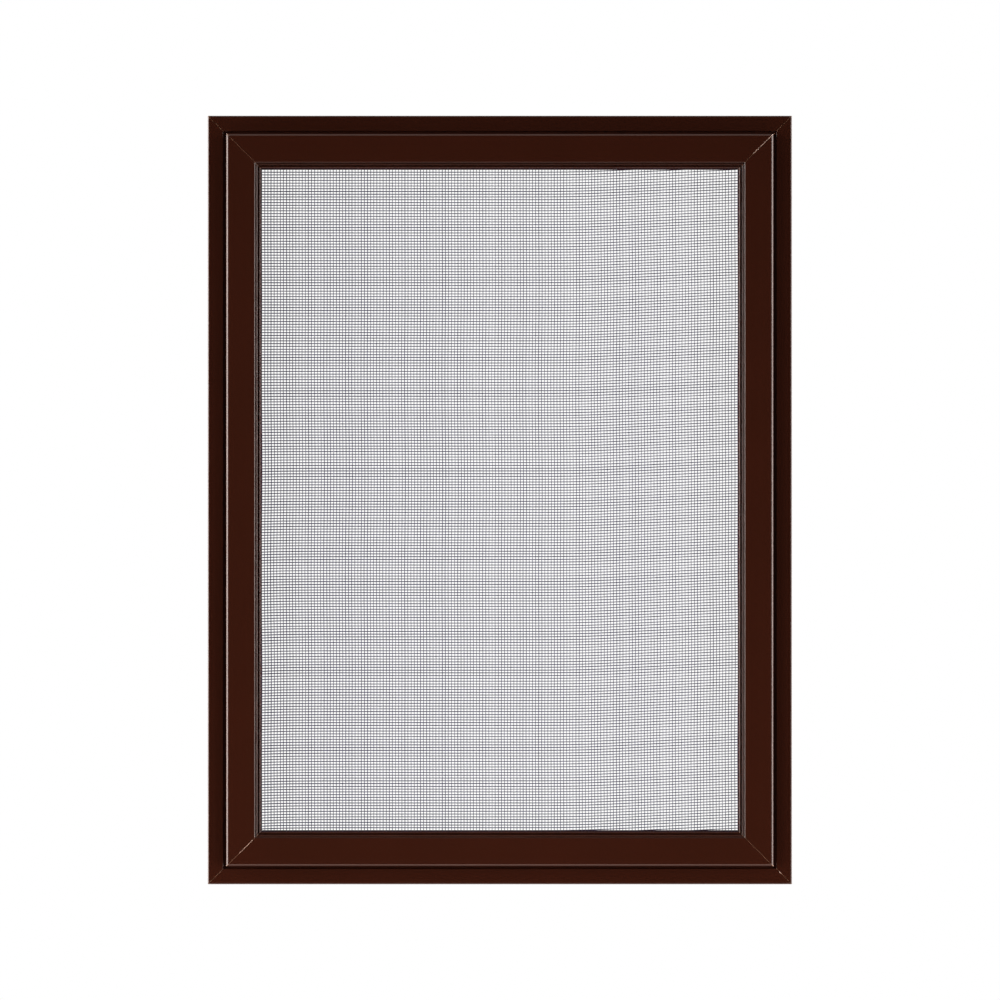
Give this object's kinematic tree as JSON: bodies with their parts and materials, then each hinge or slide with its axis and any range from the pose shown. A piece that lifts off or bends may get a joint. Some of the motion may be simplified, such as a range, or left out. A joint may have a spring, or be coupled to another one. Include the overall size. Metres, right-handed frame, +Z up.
{
  "type": "window screen frame",
  "caption": "Flanged window insect screen: mitred, dark brown coated aluminium rails on hidden corner keys, holding woven mesh by a spline pressed into a slot at the back.",
  "frame": {"origin": "centre of the whole screen's box", "axes": "+X to the right and +Z up as seen from the front; the raised face looks along -Y and the flat back along +Y"},
  "size_m": [0.298, 0.009, 0.392],
  "materials": {
    "brown_powder_coat": "satin dark brown powder coat on extruded aluminium",
    "moulded_nylon": "moulded black nylon",
    "vinyl_spline": "matt black vinyl",
    "glass_fibre_mesh": "vinyl coated glass fibre yarn, charcoal grey"
  },
  "bodies": {
    "root": {"top_rail": "brown_powder_coat", "bottom_rail": "brown_powder_coat", "left_rail": "brown_powder_coat", "right_rail": "brown_powder_coat", "top_left_corner_key": "moulded_nylon", "top_right_corner_key": "moulded_nylon", "bottom_left_corner_key": "moulded_nylon", "bottom_right_corner_key": "moulded_nylon", "top_spline": "vinyl_spline", "bottom_spline": "vinyl_spline", "left_spline": "vinyl_spline", "right_spline": "vinyl_spline", "screen_mesh": "glass_fibre_mesh"}
  },
  "joints": []
}
